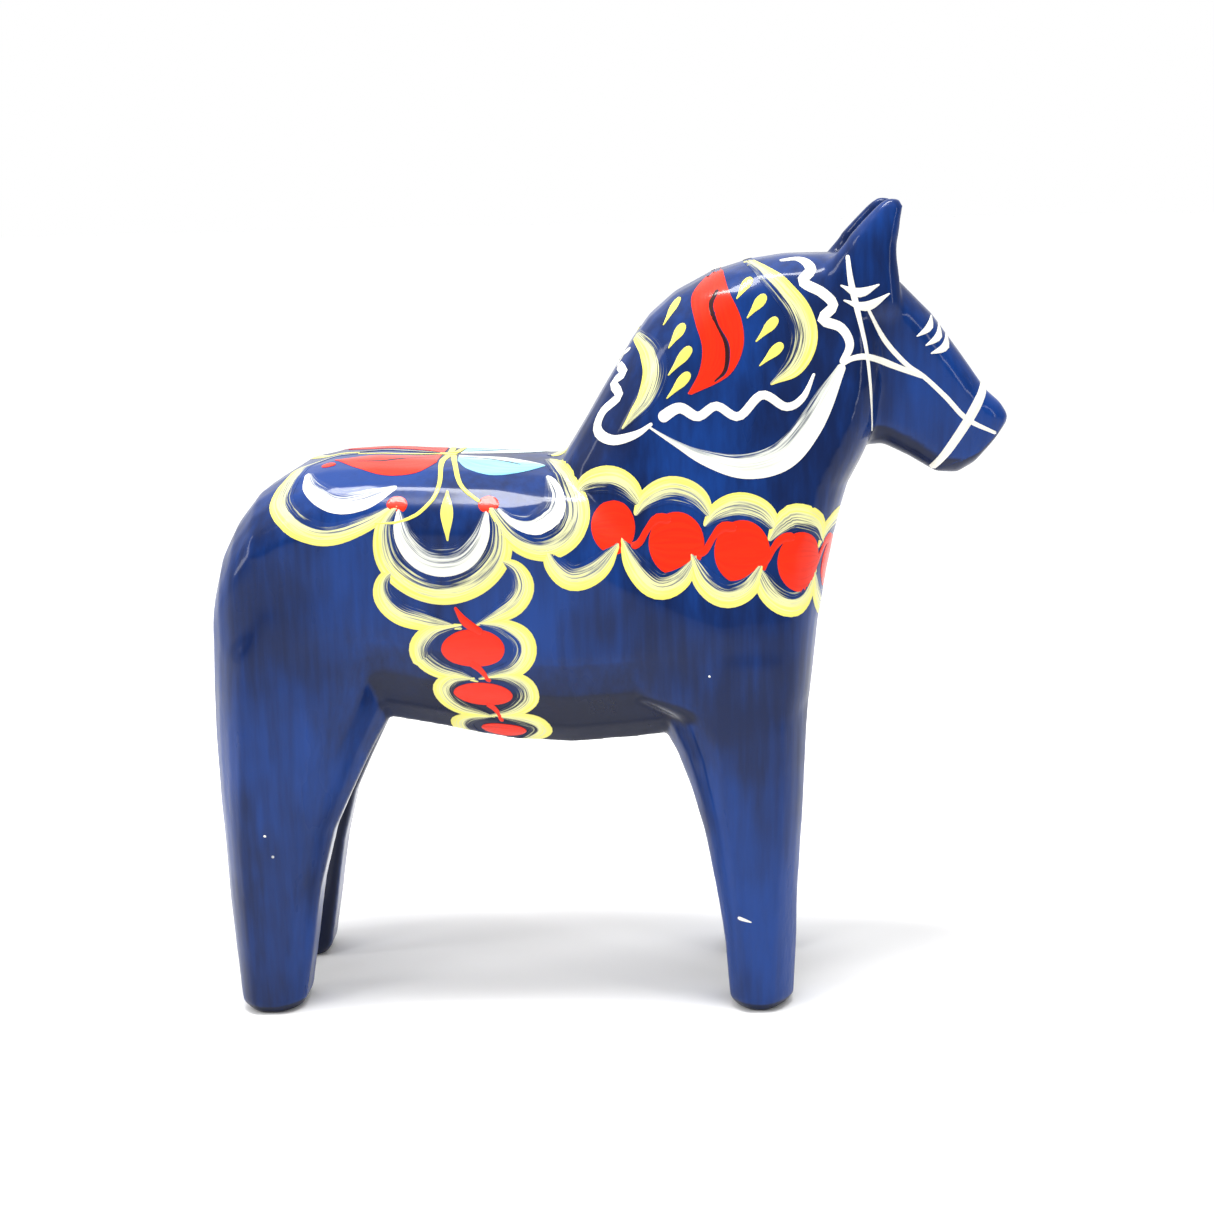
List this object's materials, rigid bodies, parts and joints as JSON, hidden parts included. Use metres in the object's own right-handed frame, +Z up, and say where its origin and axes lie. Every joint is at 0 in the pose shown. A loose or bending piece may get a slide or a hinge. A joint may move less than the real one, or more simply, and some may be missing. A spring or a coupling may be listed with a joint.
{
  "type": "carved wooden horse figure",
  "caption": "Standing carved wooden folk horse with bevelled trunk, straight legs, arched neck and pointed ears, painted blue with flower, bridle and harness ornament",
  "frame": {"origin": "on the floor, under the middle of the horse's length and width", "axes": "+X towards the nose, +Y to the horse's left, +Z up"},
  "size_m": [0.245, 0.08, 0.247],
  "materials": {
    "blue_enamel": "pine under deep blue oil enamel and gloss varnish",
    "glue": "dried wood glue",
    "yellow_paint": "brushed yellow ornament paint under varnish",
    "white_paint": "brushed white ornament paint under varnish",
    "red_paint": "brushed red ornament paint under varnish",
    "light_blue_paint": "brushed light blue ornament paint under varnish"
  },
  "bodies": {
    "root": {"right_flank_board": "blue_enamel", "right_glue_line": "glue", "centre_board": "blue_enamel", "left_glue_line": "glue", "left_flank_board": "blue_enamel"}
  },
  "joints": []
}
